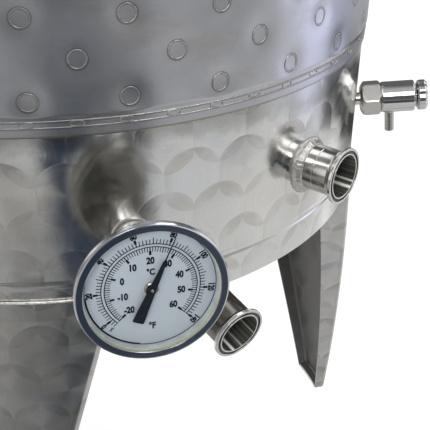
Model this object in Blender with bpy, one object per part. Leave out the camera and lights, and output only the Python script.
"""Conical fermenter: a stainless tank with a dimple cooling jacket on three folded legs.

All sizes are millimetres; store_piece() turns them into metres. Heights named here and in the
vessel, leg and manway sections count from the skirt's lower edge, and SKIRT_Z lifts them above
the floor at z = 0. The tank's axis is the Z axis and its front is -Y. An azimuth counts in
degrees from -Y towards +X.

Profiles are (radius, height) points. Each fitting has a frame whose local Z points outwards.
Rods used as cutters overrun the metal they cut.
"""

from math import acos, asin, cos, degrees, pi, radians, sin

import bmesh
import bpy
from mathutils import Matrix, Vector

# ---------------------------------------------------------------- driving dimensions
TANK_R = 320.0  # outer radius of the wall
SHEET = 2.0  # wall thickness
WALL_H = 820.0  # skirt edge to the top of the wall
GROOVE_Z = (27.5, 34.5)  # the rolled groove, between these heights
GROOVE_DEPTH = 1.4
SIDES = 48  # facets of every round piece that nests with the wall
GAP = 0.3  # running and fitting gap

LEG_H = 414.0  # skirt edge to the leg's cut end
FOOT_T = 4.0
SKIRT_Z = LEG_H + FOOT_T
LEG_AZ = {"front": -20.9, "right": 99.1, "rear": 219.1}
LEG_TOP = 17.0  # the web laps this far up the skirt
LEG_HALF = (139.7, 27.9)  # half width at the skirt edge and at the foot
LEG_FLARE = 28.0  # how far the foot stands outside the skirt
LEG_FLANGE = (36.0, 15.5)  # depth of the folded flange, top and bottom
LEG_T = 2.5
LEG_END_Z = GAP - LEG_H - FOOT_T
WEB_STEPS = 12  # facets across a leg's curved web

JACKET_Z = (160.0, 640.0)
JACKET_T = 2.7
JACKET_PORTS = {"inlet": (180.0, 205.0), "outlet": (270.0, 598.0)}  # azimuth, height
PORT_HOLE_R = 11.2
NIPPLE_OUT = 77.0  # the coolant sockets stand this far out of the wall
BOTTOM_RIM_Z, BOTTOM_LOW_Z = 48.0, 16.0

CLAMP_R, BORE_R, TUBE_R = 25.25, 19.0, 20.5  # 50.5 mm clamp ferrule on 41 x 1.5 tube
TUBE_HOLE_R = TUBE_R + 0.45
FERRULE_LENGTH = 21.5
RACK_AZ, RACK_Z, RACK_OUT = 41.55, 82.6, 37.3
DRAIN_AZ, DRAIN_R, DRAIN_Z, DRAIN_HEADING, DRAIN_SLOPE = 23.3, 345.8, -36.5, 27.0, 10.6
ELBOW_R, ELBOW_STEPS = 32.0, 4
DRAIN_RUN_Z = -19.0  # the pipe's height where it leaves the elbow
DRAIN_BEND = 64.0  # the pipe's last bend lies this far behind the ferrule face

THERMO_AZ, THERMO_Z, THERMO_HEADING, THERMO_RISE = 8.48, 69.5, 4.3, 1.9
POCKET_R, STEM_BORE_R = 14.5, 4.9
BEZEL_FRONT, BEZEL_R = 86.3, 55.5
DIAL_Z = BEZEL_FRONT - 8.0  # front of the dial
DIAL_ZERO = 20.0  # the temperature at twelve o'clock
DIAL_STEP = 270.0 / 80.0  # degrees of turn for each degree Celsius
REST_TEMPERATURE = 27.0
COIL_TURNS, COIL_STEPS = 6, 9  # steps are per turn
COIL_R, COIL_WIRE_R, COIL_START, COIL_LENGTH = 2.35, 0.55, -118, 52

TAP_AZ, TAP_Z, TAP_RISE = 75.0, 78.0, 6.5
NUT_ACROSS_CORNERS, TAP_BODY_R, TAP_KNOB_R, TAP_OUTLET_R = 38.0, 16.3, 16.3, 4.85
TAP_NECK_R, TAP_OUTLET_BORE_R, TAP_OUTLET_START = 6.5, 3.6, 12.8
TAP_OUTLET_Z = 36.6  # where the outlet crosses the tap's axis

MANWAY_R = 152.0
LID_HINGE = (0.0, 187.0, 924.5)
HANDLE_HALF, HANDLE_Y, HANDLE_FOOT_Z = 52, -96, 933.6
HANDLE_BEND_Z, HANDLE_BEND_R, HANDLE_BAR_R = 957, 14, 5.0
BOLT_PIVOT = (0.0, -178.0, 893.0)
BOLT_REST = 12.0  # the freed swing bolt lies this far below level
CAP_Z = 975.5  # origin of the breather cap

# name: (colour, metallic, roughness)
MATERIALS = {
    "marbled_steel": ((0.62, 0.62, 0.60), 1.0, 0.28),
    "satin_steel": ((0.55, 0.56, 0.60), 1.0, 0.34),
    "polished_steel": ((0.70, 0.70, 0.68), 1.0, 0.16),
    "turned_steel": ((0.64, 0.63, 0.60), 1.0, 0.24),
    "bimetal": ((0.55, 0.42, 0.28), 1.0, 0.35),
    "brass": ((0.72, 0.53, 0.25), 1.0, 0.25),
    "dial_face": ((0.80, 0.82, 0.84), 0.0, 0.35),
    "cream_silicone": ((0.78, 0.74, 0.56), 0.0, 0.5),
    "clear_glass": ((0.85, 0.90, 0.92), 0.0, 0.03),
    "pointer_black": ((0.02, 0.02, 0.025), 0.0, 0.4),
    "white_ptfe": ((0.85, 0.85, 0.82), 0.0, 0.5),
    "white_silicone": ((0.82, 0.82, 0.80), 0.0, 0.55),
    "black_phenolic": ((0.03, 0.03, 0.035), 0.0, 0.35),
}


def material(name):
    existing = bpy.data.materials.get(name)
    if existing:
        return existing
    colour, metallic, roughness = MATERIALS[name]
    mat = bpy.data.materials.new(name)
    mat.use_nodes = True
    shader = mat.node_tree.nodes["Principled BSDF"]
    shader.inputs["Base Color"].default_value = (*colour, 1.0)
    shader.inputs["Metallic"].default_value = metallic
    shader.inputs["Roughness"].default_value = roughness
    mat.diffuse_color = (*colour, 1.0)
    return mat


# ---------------------------------------------------------------- directions and frames
def outward(azimuth):
    angle = radians(azimuth)
    return Vector((sin(angle), -cos(angle), 0.0))


def tilted(azimuth, rise):
    """The outward direction, tipped up by rise degrees."""
    return outward(azimuth) * cos(radians(rise)) + Vector((0, 0, sin(radians(rise))))


def point(azimuth, radius, height):
    return outward(azimuth) * radius + Vector((0, 0, height + SKIRT_Z))


def frame(origin, axis):
    """Local +Z runs along axis, local +Y is as near to world up as it can be."""
    z = Vector(axis).normalized()
    up = Vector((0, 0, 1))
    y = up - z * up.dot(z)
    y.normalize()
    x = y.cross(z)
    matrix = Matrix((x, y, z)).transposed().to_4x4()
    matrix.translation = Vector(origin)
    return matrix


def wall_frame(azimuth, height):
    return frame(point(azimuth, TANK_R, height), outward(azimuth))


SKIRT = Matrix.Translation((0, 0, SKIRT_Z))
RACK = wall_frame(RACK_AZ, RACK_Z)
TAP = frame(point(TAP_AZ, TANK_R, TAP_Z), tilted(TAP_AZ, TAP_RISE))
TAP_DOWN = (
    TAP @ Matrix.Translation((0, 0, TAP_OUTLET_Z)) @ Matrix.Rotation(radians(90), 4, "X")
)
THERMO = frame(point(THERMO_AZ, TANK_R, THERMO_Z), tilted(THERMO_HEADING, THERMO_RISE))
DRAIN_AXIS = tilted(DRAIN_HEADING, -DRAIN_SLOPE)
DRAIN_FACE = point(DRAIN_AZ, DRAIN_R, DRAIN_Z)

# Local (x, y, z) becomes world (z, x, y): outlines in (y, height) are pushed along X.
ACROSS = Matrix(((0, 0, 1, 0), (1, 0, 0, 0), (0, 1, 0, SKIRT_Z), (0, 0, 0, 1)))
HINGE = SKIRT @ frame(LID_HINGE, (-1, 0, 0))
HINGE_PIN = ACROSS @ Matrix.Translation((LID_HINGE[1], LID_HINGE[2], 0))
SWING = SKIRT @ frame(BOLT_PIVOT, (-1, 0, 0))
BOLT_PIN = ACROSS @ Matrix.Translation((BOLT_PIVOT[1], BOLT_PIVOT[2], 0))
BOLT = SKIRT @ frame(BOLT_PIVOT, tilted(0, -BOLT_REST))


# ---------------------------------------------------------------- solids
def skin(loops, closed=False, place=None):
    """Quads between loops of equal count; closed joins last to first, otherwise ends are capped."""
    bm = bmesh.new()
    rings = [[bm.verts.new(p) for p in loop] for loop in loops]
    following = rings[1:] + rings[:1] if closed else rings[1:]
    for here, there in zip(rings, following):
        for k in range(len(here)):
            n = (k + 1) % len(here)
            bm.faces.new((here[k], here[n], there[n], there[k]))
    if not closed:
        bm.faces.new(list(reversed(rings[0])))
        bm.faces.new(rings[-1])
    bmesh.ops.recalc_face_normals(bm, faces=bm.faces)
    if place:
        bmesh.ops.transform(bm, matrix=place, verts=bm.verts)
    return bm


def lathe(profile, sides, place, solid=False):
    """A profile turned round local Z: a closed ring, or a solid capped at both ends."""
    angles = [2 * pi * k / sides for k in range(sides)]
    loops = [[(r * cos(a), r * sin(a), height) for a in angles] for r, height in profile]
    return skin(loops, closed=not solid, place=place)


def rod(radius, low, high, sides, place):
    return lathe([(radius, low), (radius, high)], sides, place, solid=True)


def sleeve(inner, outer, low, high, sides, place):
    """A ring of rectangular section."""
    return lathe([(inner, low), (outer, low), (outer, high), (inner, high)], sides, place)


def prism(outline, low, high, place=None):
    """A polygon in local XY pushed from low to high along local Z."""
    return skin([[(x, y, z) for x, y in outline] for z in (low, high)], place=place)


def mirrored_plates(outline, near, far):
    """Two (y, height) plates, one on each side of the YZ plane."""
    return [prism(outline, -far, -near, ACROSS), prism(outline, near, far, ACROSS)]


def hexagon(radius, turn=0.0):
    angles = [2 * pi * k / 6 + radians(turn) for k in range(6)]
    return [(radius * cos(a), radius * sin(a)) for a in angles]


def lobed_knob(sections, hollows, depth, points, place):
    """A knob with finger hollows, as deep as depth where it is widest."""
    widest = max(radius for radius, _ in sections)
    loops = []
    for radius, z in sections:
        loop = []
        for k in range(points):
            a = 2 * pi * k / points
            r = radius - depth * radius / widest * (0.5 - 0.5 * cos(hollows * a)) ** 2
            loop.append(place @ Vector((r * cos(a), r * sin(a), z)))
        loops.append(loop)
    return skin(loops)


def sweep(path, radius, sides, bore=0.0):
    """A round bar along a path of points, or a tube open at both ends when bore is given."""
    path = [Vector(p) for p in path]
    runs = [(b - a).normalized() for a, b in zip(path, path[1:])]
    side = None
    stations = []  # point, stretch that keeps a mitred bend full width, spokes
    for i, p in enumerate(path):
        before, after = runs[max(i - 1, 0)], runs[min(i, len(runs) - 1)]
        axis = (before + after).normalized()
        if side is None:
            side = axis.orthogonal().normalized()
        side = (side - axis * side.dot(axis)).normalized()
        other = axis.cross(side)
        stretch = 1.0
        if 0 < i < len(path) - 1:
            bend = acos(max(-1, min(1, before.dot(after))))
            stretch = 1.0 / max(0.7, cos(bend / 2))
        angles = [2 * pi * k / sides for k in range(sides)]
        stations.append((p, stretch, [side * cos(a) + other * sin(a) for a in angles]))

    def loops(r):
        return [[p + d * r * stretch for d in spokes] for p, stretch, spokes in stations]

    if bore:
        return skin(loops(radius) + loops(bore)[::-1], closed=True)
    return skin(loops(radius))


# ---------------------------------------------------------------- Booleans and storing
def helper_object(bm):
    mesh = bpy.data.meshes.new("helper")
    bm.to_mesh(mesh)
    bm.free()
    obj = bpy.data.objects.new("helper", mesh)
    bpy.context.scene.collection.objects.link(obj)
    return obj


def combine(bm, others, operation):
    """The exact Boolean of one mesh with each of the others."""
    target = helper_object(bm)
    tools = [helper_object(other) for other in others]
    for tool in tools:
        modifier = target.modifiers.new("cut", "BOOLEAN")
        modifier.operation = operation
        modifier.solver = "EXACT"
        modifier.object = tool
    bpy.context.view_layer.update()
    graph = bpy.context.evaluated_depsgraph_get()
    mesh = bpy.data.meshes.new_from_object(target.evaluated_get(graph))
    result = bmesh.new()
    result.from_mesh(mesh)
    for obj in [target, *tools]:
        bpy.data.objects.remove(obj, do_unlink=True)
    bpy.data.meshes.remove(mesh)
    bmesh.ops.remove_doubles(result, verts=result.verts, dist=0.0005)
    bmesh.ops.dissolve_limit(
        result, angle_limit=radians(0.02), verts=result.verts, edges=result.edges
    )
    return result


def cut(bm, *others):
    return combine(bm, others, "DIFFERENCE")


def join(bm, *others):
    return combine(bm, others, "UNION")


def store_piece(name, bm, material_name, pivot=None, smooth=30):
    """Stores a mesh as one named object. pivot is the frame of its joint, if it moves."""
    pivot = pivot or Matrix.Identity(4)
    bmesh.ops.transform(bm, matrix=pivot.inverted(), verts=bm.verts)
    bmesh.ops.scale(bm, vec=(0.001, 0.001, 0.001), verts=bm.verts)
    mesh = bpy.data.meshes.new(name)
    bm.to_mesh(mesh)
    bm.free()
    mesh.shade_smooth()
    mesh.set_sharp_from_angle(angle=radians(smooth))
    mesh.materials.append(material(material_name))
    obj = bpy.data.objects.new(name, mesh)
    bpy.context.scene.collection.objects.link(obj)
    placement = pivot.copy()
    placement.translation = pivot.translation * 0.001
    obj.matrix_world = placement


# ---------------------------------------------------------------- vessel
def build_wall():
    low, high = GROOVE_Z
    inner = TANK_R - SHEET
    profile = [
        (TANK_R, 0), (TANK_R, low), (TANK_R - GROOVE_DEPTH, (low + high) / 2),
        (TANK_R, high), (TANK_R, WALL_H), (inner, WALL_H), (inner, 0),
    ]
    wall = cut(
        lathe(profile, SIDES, SKIRT),
        rod(TUBE_HOLE_R, -20, 20, 24, RACK),
        rod(POCKET_R + 0.6, -20, 20, 20, THERMO),
        rod(TAP_NECK_R + 0.45, -20, 20, 16, TAP),
    )
    store_piece("vessel_wall", wall, "marbled_steel")


def build_bottom():
    low, rim = BOTTOM_LOW_Z, BOTTOM_RIM_Z
    outer = TANK_R - SHEET - 0.4  # clear of the wall's inner face
    inner = outer - SHEET
    profile = [
        (outer, rim + 5), (outer, rim), (TUBE_HOLE_R, low),
        (TUBE_HOLE_R, low + SHEET), (inner, rim + SHEET + 0.3), (inner, rim + 5),
    ]
    store_piece("cone_bottom", lathe(profile, SIDES, SKIRT), "satin_steel")


def build_head():
    z = WALL_H + GAP
    opening = MANWAY_R + 0.4
    profile = [
        # outside: knuckle, then cone up to the opening
        (TANK_R, z), (TANK_R, z + 10), (TANK_R - 3.5, z + 20), (TANK_R - 14, z + 27.5),
        (opening, z + 61),
        # inside, back down
        (opening, z + 58.8), (TANK_R - 15, z + 25.3), (TANK_R - 4.4, z + 16.0),
        (TANK_R - SHEET, z),
    ]
    store_piece("top_head", lathe(profile, SIDES, SKIRT), "satin_steel")


def build_jacket():
    inner = TANK_R + GAP
    jacket = sleeve(inner, inner + JACKET_T, *JACKET_Z, SIDES, SKIRT)
    ports = {name: wall_frame(*place) for name, place in JACKET_PORTS.items()}
    holes = [rod(PORT_HOLE_R, -20, 20, 16, port) for port in ports.values()]
    store_piece("dimple_jacket", cut(jacket, *holes), "satin_steel")

    nipple = [
        (10.6, 0.9), (10.6, 51.0), (13.6, 52.5), (13.6, NIPPLE_OUT),
        (9.3, NIPPLE_OUT), (9.3, 60.0), (8.0, 59.0), (8.0, 0.9),
    ]
    for name, port in ports.items():
        store_piece(f"jacket_{name}_nipple", lathe(nipple, 16, port), "turned_steel")


# ---------------------------------------------------------------- racking port and drain
def ferrule(place):
    """A clamp ferrule whose grooved face is at local z = 0; its tube runs back from there."""
    profile = [
        (CLAMP_R, 0), (CLAMP_R, -2.85), (TUBE_R, -6.8), (TUBE_R, -FERRULE_LENGTH),
        (BORE_R, -FERRULE_LENGTH), (BORE_R, 0), (20.4, 0), (20.9, -1.4), (22.7, -1.4), (23.2, 0),
    ]
    return lathe(profile, 24, place)


def build_racking_port():
    face = RACK @ Matrix.Translation((0, 0, RACK_OUT))
    store_piece("racking_ferrule", ferrule(face), "polished_steel")
    tube = sleeve(BORE_R, TUBE_R, -12, RACK_OUT - FERRULE_LENGTH - GAP, 24, RACK)
    store_piece("racking_tube", tube, "turned_steel")

    bore = TUBE_R + 0.3
    profile = [(bore, -6), (26.2, -6), (26.2, 0.9), (24.4, 2.8), (21.6, 7.0), (bore, 7.0)]
    # the collar's back is cut to the tank's round
    tank = rod(TANK_R + GAP, -100, 300, SIDES, SKIRT)
    store_piece("racking_weld_collar", cut(lathe(profile, 24, RACK), tank), "turned_steel")


def build_drain():
    store_piece("drain_ferrule", ferrule(frame(DRAIN_FACE, DRAIN_AXIS)), "polished_steel")
    end = DRAIN_FACE - DRAIN_AXIS * (FERRULE_LENGTH + GAP)
    bend = DRAIN_FACE - DRAIN_AXIS * DRAIN_BEND
    heading = Vector((bend.x, bend.y, 0)).normalized()
    run_z = DRAIN_RUN_Z + SKIRT_Z
    path = [Vector((0, 0, BOTTOM_LOW_Z + 1.2 + SKIRT_Z))]
    for k in range(ELBOW_STEPS + 1):
        a = radians(90 * k / ELBOW_STEPS)
        height = Vector((0, 0, run_z + ELBOW_R * (1 - sin(a))))
        path.append(heading * ELBOW_R * (1 - cos(a)) + height)
    path += [bend, end]
    store_piece("drain_pipe", sweep(path, TUBE_R, 16, BORE_R), "turned_steel")


# ---------------------------------------------------------------- legs
def leg_shape(z):
    """(half angle in radians, outer radius, flange depth) of a leg at height z."""
    t = max(0.0, -z) / LEG_H
    half = LEG_HALF[0] + (LEG_HALF[1] - LEG_HALF[0]) * (-z / LEG_H)
    radius = TANK_R + 0.6 + LEG_T + LEG_FLARE * t
    depth = LEG_FLANGE[0] + (LEG_FLANGE[1] - LEG_FLANGE[0]) * t
    return asin(half / TANK_R), radius, depth


def web_section(azimuth, z):
    half, radius, _ = leg_shape(z)
    steps = range(WEB_STEPS + 1)
    angles = [azimuth + degrees(-half + 2 * half * k / WEB_STEPS) for k in steps]
    outer = [point(a, radius, z) for a in angles]
    return outer + [point(a, radius - LEG_T, z) for a in reversed(angles)]


def flange_section(azimuth, z, side):
    half, radius, depth = leg_shape(z)
    edge = azimuth + side * degrees(half)
    inner = azimuth + side * (degrees(half) - degrees(LEG_T / radius))
    near, far = radius - 0.5 * LEG_T, radius - depth
    corners = ((edge, near), (inner, near), (inner, far), (edge, far))
    return [point(a, r, z) for a, r in corners]


def build_leg(name, azimuth):
    heights = (LEG_END_Z, -LEG_H / 2)
    web = skin([web_section(azimuth, z) for z in (*heights, 0.0, LEG_TOP)])
    flanges = [
        skin([flange_section(azimuth, z, side) for z in (*heights, -0.6)]) for side in (-1, 1)
    ]
    store_piece(f"{name}_leg", join(web, *flanges), "marbled_steel", smooth=35)


def build_foot_plate(name, azimuth):
    """Closes the channel's end, between the flanges."""
    half, radius, depth = leg_shape(-LEG_H)
    spread = degrees(asin(sin(half) - (LEG_T + 1.4) / TANK_R))
    arc = [azimuth + spread * s for s in (-1, -0.5, 0, 0.5, 1)]
    outline = [outward(a) * (radius - LEG_T - 0.5) for a in arc]
    outline += [outward(a) * (radius - depth + 0.4) for a in reversed(arc)]
    foot = prism([(p.x, p.y) for p in outline], 0.0, FOOT_T - GAP)
    store_piece(f"{name}_foot_plate", foot, "satin_steel")


# ---------------------------------------------------------------- thermometer
def build_stem():
    profile = [(POCKET_R, 30), (POCKET_R, -13), (6.6, -19), (6.6, -132)]
    pocket = lathe(profile, 20, THERMO, solid=True)
    well = cut(pocket, rod(STEM_BORE_R, -127, 40, 16, THERMO))
    store_piece("thermowell", well, "turned_steel")
    nut = prism(hexagon(17.0), 30.3, 46.0, THERMO)
    nut = cut(nut, rod(STEM_BORE_R, 20, 60, 16, THERMO))
    store_piece("stem_nut", nut, "turned_steel")
    sheath = cut(rod(4.4, -124, 60.5, 16, THERMO), rod(3.6, -121, 70, 12, THERMO))
    store_piece("stem_sheath", sheath, "polished_steel")


def build_coil():
    count = COIL_TURNS * COIL_STEPS
    path = []
    for k in range(count + 1):
        a = 2 * pi * k / COIL_STEPS
        z = COIL_START + COIL_LENGTH * k / count
        path.append(THERMO @ Vector((COIL_R * cos(a), COIL_R * sin(a), z)))
    store_piece("bimetal_coil", sweep(path, COIL_WIRE_R, 4), "bimetal")


def build_dial_case():
    case = [
        # back and outside, to the front lip
        (5.0, 48), (13, 48), (13, 61.5), (41, 61.5), (45.8, 66), (49.4, 71.6), (49.4, 74.6),
        (51.2, 76.2), (53.3, 78.2), (53.3, 82.0),
        # inside, back to the stem
        (52.1, 82.0), (52.1, 78.7), (50.4, 77.0), (48.2, 75.1), (48.2, 72.0), (44.9, 66.9),
        (40.5, 62.8), (5.0, 62.8),
    ]
    store_piece("thermometer_case", lathe(case, 32, THERMO), "satin_steel")
    bezel = [
        (53.6, 78.6), (54.4, 79.4), (BEZEL_R, 81.3), (BEZEL_R, 83.5), (BEZEL_R - 0.9, 85.5),
        (BEZEL_R - 2.5, BEZEL_FRONT + 0.2), (49.4, BEZEL_FRONT + 0.1), (49.2, 85.5),
        (52.4, 85.5), (53.6, 84.2),
    ]
    store_piece("thermometer_bezel", lathe(bezel, 32, THERMO), "polished_steel")
    rings = (  # name, inner radius, outer radius, back, front, material
        ("dial_plate", 1.9, 50.4, DIAL_Z - 0.6, DIAL_Z, "dial_face"),
        ("glass_gasket", 48.6, 51.6, 82.5, 83.2, "cream_silicone"),
    )
    for name, inner, outer, back, front, finish in rings:
        store_piece(name, sleeve(inner, outer, back, front, 32, THERMO), finish)
    spacer = [(47.6, DIAL_Z + 0.3), (51.6, DIAL_Z + 0.3), (51.6, 82.2), (48.6, 82.2)]
    store_piece("dial_spacer", lathe(spacer, 32, THERMO), "polished_steel")
    store_piece("thermometer_glass", rod(51.4, 83.5, 85.2, 32, THERMO), "clear_glass")


def build_pointer():
    turn = (REST_TEMPERATURE - DIAL_ZERO) * DIAL_STEP
    hand = THERMO @ Matrix.Rotation(radians(-turn), 4, "Z")
    # right edge (x, y) from tip to tail; the left edge mirrors it
    edge = [(0.28, 44.0), (0.5, 24.8), (1.3, 23.8), (4.4, -27.8)]
    outline = edge + [(-x, y) for x, y in reversed(edge)]
    needle = prism(outline, DIAL_Z + 3.3, DIAL_Z + 3.9, hand)
    needle = cut(needle, rod(1.35, 60, 100, 12, hand))
    store_piece("pointer", needle, "pointer_black", THERMO)
    shaft = rod(0.95, -62, DIAL_Z + 4.6, 10, THERMO)
    store_piece("pointer_shaft", shaft, "polished_steel", THERMO)
    hub = [
        (4.4, DIAL_Z + 0.4), (4.4, DIAL_Z + 2.4), (3.7, DIAL_Z + 3.0),
        (1.35, DIAL_Z + 3.0), (1.35, DIAL_Z + 0.4),
    ]
    store_piece("pointer_hub", lathe(hub, 16, THERMO), "brass", THERMO)


# ---------------------------------------------------------------- sample tap
def build_tap_union():
    neck = [
        (TAP_NECK_R, -8), (TAP_NECK_R, 7.9), (9.6, 7.9), (9.6, 15.8), (4.4, 15.8), (4.4, -8),
    ]
    store_piece("tap_neck", lathe(neck, 16, TAP), "turned_steel")
    store_piece("tap_gasket", sleeve(4.8, 9.4, 16.1, 17.6, 16, TAP), "white_ptfe")
    corner = NUT_ACROSS_CORNERS / 2
    # a ring round the nut that chamfers its corners at both ends
    chamfer = [
        (30, 0), (30, 40), (corner * 0.80, 40), (corner * 0.80, 27.3), (corner + 1.0, 23.0),
        (corner + 1.0, 12.6), (corner * 0.62, 5.4), (corner * 0.62, 0),
    ]
    nut = cut(
        prism(hexagon(corner, -8), 5.6, 27.0, TAP),
        lathe(chamfer, 30, TAP),
        rod(10.1, 7.6, 40, 16, TAP),
        rod(6.9, 0, 20, 16, TAP),
    )
    store_piece("tap_union_nut", nut, "turned_steel", smooth=20)


def build_tap_body():
    profile = [
        (9.6, 17.9), (9.6, 27.3), (15.4, 27.3), (TAP_BODY_R, 29.4), (TAP_BODY_R, 61.0),
        (TAP_BODY_R - 1.4, 62.4),
    ]
    body = cut(
        lathe(profile, 24, TAP, solid=True),
        # along the axis: inlet, seal chamber, spindle hole
        rod(4.6, 10, 34, 16, TAP),
        rod(6.6, 32.0, 55, 16, TAP),
        rod(3.4, 50, 70, 16, TAP),
        # downwards: outlet bore, outlet socket
        rod(TAP_OUTLET_BORE_R, 0, 14, 12, TAP_DOWN),
        rod(5.2, 12.5, 30, 12, TAP_DOWN),
    )
    store_piece("tap_body", body, "polished_steel")
    outlet = sleeve(TAP_OUTLET_BORE_R, TAP_OUTLET_R, TAP_OUTLET_START, 38.0, 12, TAP_DOWN)
    store_piece("tap_outlet", outlet, "turned_steel")


def build_tap_spindle():
    store_piece("tap_seal", rod(6.1, 32.35, 35.0, 16, TAP), "white_ptfe", TAP)
    store_piece("tap_spindle", rod(3.0, 35.3, 70.0, 16, TAP), "turned_steel", TAP)
    sections = [(12.0, 64.2), (TAP_KNOB_R, 66.8), (TAP_KNOB_R, 73.0), (TAP_KNOB_R - 3.0, 75.6)]
    knob = lobed_knob(sections, hollows=8, depth=0.9, points=32, place=TAP)
    store_piece("tap_knob", cut(knob, rod(3.3, 50, 71, 16, TAP)), "polished_steel", TAP)


# ---------------------------------------------------------------- manway, lid and breather
def build_lid():
    neck = sleeve(MANWAY_R - 2, MANWAY_R, 872, 915, 40, SKIRT)
    store_piece("manway_neck", neck, "satin_steel")
    profile = [
        # top, from the centre hole to the rim's lower edge
        (14.8, 951.5), (75, 943), (138, 921), (168, 921), (168, 906),
        # underside, back to the hole
        (166.4, 906), (166.4, 918.8), (137.6, 918.8), (74.6, 940.8), (14.8, 949.3),
    ]
    store_piece("manway_lid", lathe(profile, 40, SKIRT), "satin_steel", HINGE)
    gasket = sleeve(143, 156, 915.5, 918.4, 36, SKIRT)
    store_piece("lid_gasket", gasket, "white_silicone", HINGE)


def build_hinge():
    _, y, z = LID_HINGE
    # outlines are (y, height)
    ear = [
        (153, 892), (y + 7, 892), (y + 10, 900), (y + 10, z + 4), (y + 5, z + 9.5),
        (y - 5, z + 9.5), (y - 10, z + 4), (y - 10, 901), (153, 901),
    ]
    base = [(153, 892.4), (y + 5, 892.4), (y + 5, 900.4), (153, 900.4)]
    bracket = join(*mirrored_plates(ear, 19.5, 24), prism(base, -20, 20, ACROSS))
    bracket = cut(bracket, rod(5.5, -40, 40, 16, HINGE_PIN))
    store_piece("hinge_bracket", bracket, "turned_steel")

    pin = [(4.9, -26), (4.9, 26.2), (7.6, 26.2), (7.6, 29.5)]
    store_piece("hinge_pin", lathe(pin, 16, HINGE_PIN, solid=True), "polished_steel")

    strap = [
        (94, 937.2), (138, 921.8), (140, 921.4), (y, 921.4), (y, 927.4), (141, 927.4), (96, 943.0),
    ]
    arm = join(prism(strap, -14, 14, ACROSS), rod(9.2, -17, 17, 20, HINGE_PIN))
    arm = cut(arm, rod(5.6, -40, 40, 16, HINGE_PIN))
    store_piece("hinge_arm", arm, "turned_steel", HINGE)


def build_handle():
    path = [Vector((-HANDLE_HALF, HANDLE_Y, HANDLE_FOOT_Z + SKIRT_Z))]
    for k in range(4):
        a = radians(90 * k / 3)
        x = -HANDLE_HALF + HANDLE_BEND_R * (1 - cos(a))
        z = HANDLE_BEND_Z + HANDLE_BEND_R * sin(a) + SKIRT_Z
        path.append(Vector((x, HANDLE_Y, z)))
    path += [Vector((-p.x, p.y, p.z)) for p in reversed(path)]
    store_piece("lid_handle", sweep(path, HANDLE_BAR_R, 10), "polished_steel", HINGE)


def build_lug():
    """The closing lug on the lid, with an open slot for the bolt."""
    outline = [(-17, -192), (17, -192), (17, -168.5), (-17, -168.5)]
    slot = [(-5.6, -200), (5.6, -200), (5.6, -170.6), (-5.6, -170.6)]
    lug = cut(prism(outline, 914.5, 920.4, SKIRT), prism(slot, 900, 930, SKIRT))
    store_piece("lid_lug", lug, "turned_steel", HINGE)


def build_fork():
    """The fork on the neck that carries the swing bolt."""
    _, y, z = BOLT_PIVOT
    back = -152.6
    # outlines are (y, height)
    cheek = [
        (back, 886), (y - 6, 886), (y - 8.5, z - 3), (y - 8.5, z + 3), (y - 5, z + 7.5),
        (y + 5, z + 7.5), (back, z + 7.5),
    ]
    bridge = [(back, 886.4), (-163, 886.4), (-163, z + 7), (back, z + 7)]
    fork = join(*mirrored_plates(cheek, 7.4, 13.5), prism(bridge, -8, 8, ACROSS))
    fork = cut(fork, rod(3.9, -40, 40, 16, BOLT_PIN))
    store_piece("bolt_fork", fork, "turned_steel")
    pin = [(3.5, -15), (3.5, 14.2), (5.6, 14.2), (5.6, 16.6)]
    store_piece("bolt_pin", lathe(pin, 16, BOLT_PIN, solid=True), "polished_steel")


def build_swing_bolt():
    # eye and shank are each turned a little, which sets where their facets fall
    eye_place = BOLT_PIN @ Matrix.Rotation(radians(4), 4, "Z")
    shank_place = BOLT @ Matrix.Rotation(radians(3), 4, "Z")
    eye = cut(rod(8.2, -6.0, 6.0, 20, eye_place), rod(4.0, -40, 40, 16, eye_place))
    bolt = join(eye, rod(4.0, 6.3, 62, 12, shank_place))
    store_piece("swing_bolt", bolt, "polished_steel", SWING)
    store_piece("bolt_washer", sleeve(4.5, 9.5, 34.0, 36.0, 16, BOLT), "polished_steel", BOLT)
    sections = [(9.5, 36.4), (15.0, 39.0), (15.0, 50.0)]
    knob = lobed_knob(sections, hollows=5, depth=2.6, points=30, place=BOLT)
    knob = cut(knob, rod(4.5, 20, 70, 16, BOLT))
    store_piece("bolt_hand_nut", knob, "black_phenolic", BOLT)


def build_breather():
    seat = [
        (14.2, 944), (14.2, 951.8), (17.5, 951.8), (17.5, 954.5), (12.5, 957), (12.5, 975),
        (10.0, 975), (10.0, 944),
    ]
    store_piece("breather_seat", lathe(seat, 20, SKIRT), "turned_steel", HINGE)
    crown = Matrix.Translation((0, 0, SKIRT_Z + CAP_Z))
    cap = lathe([(18.5, -14), (18.5, 2.5), (16.5, 4.5)], 20, crown, solid=True)
    cap = cut(cap, rod(13.4, -20, 0, 20, crown))
    store_piece("breather_cap", cap, "polished_steel", crown)


def main():
    for obj in list(bpy.data.objects):
        bpy.data.objects.remove(obj, do_unlink=True)
    build_wall()
    build_bottom()
    build_head()
    build_jacket()
    build_racking_port()
    build_drain()
    for name, azimuth in LEG_AZ.items():
        build_leg(name, azimuth)
        build_foot_plate(name, azimuth)
    build_stem()
    build_coil()
    build_dial_case()
    build_pointer()
    build_tap_union()
    build_tap_body()
    build_tap_spindle()
    build_lid()
    build_hinge()
    build_handle()
    build_lug()
    build_fork()
    build_swing_bolt()
    build_breather()


main()
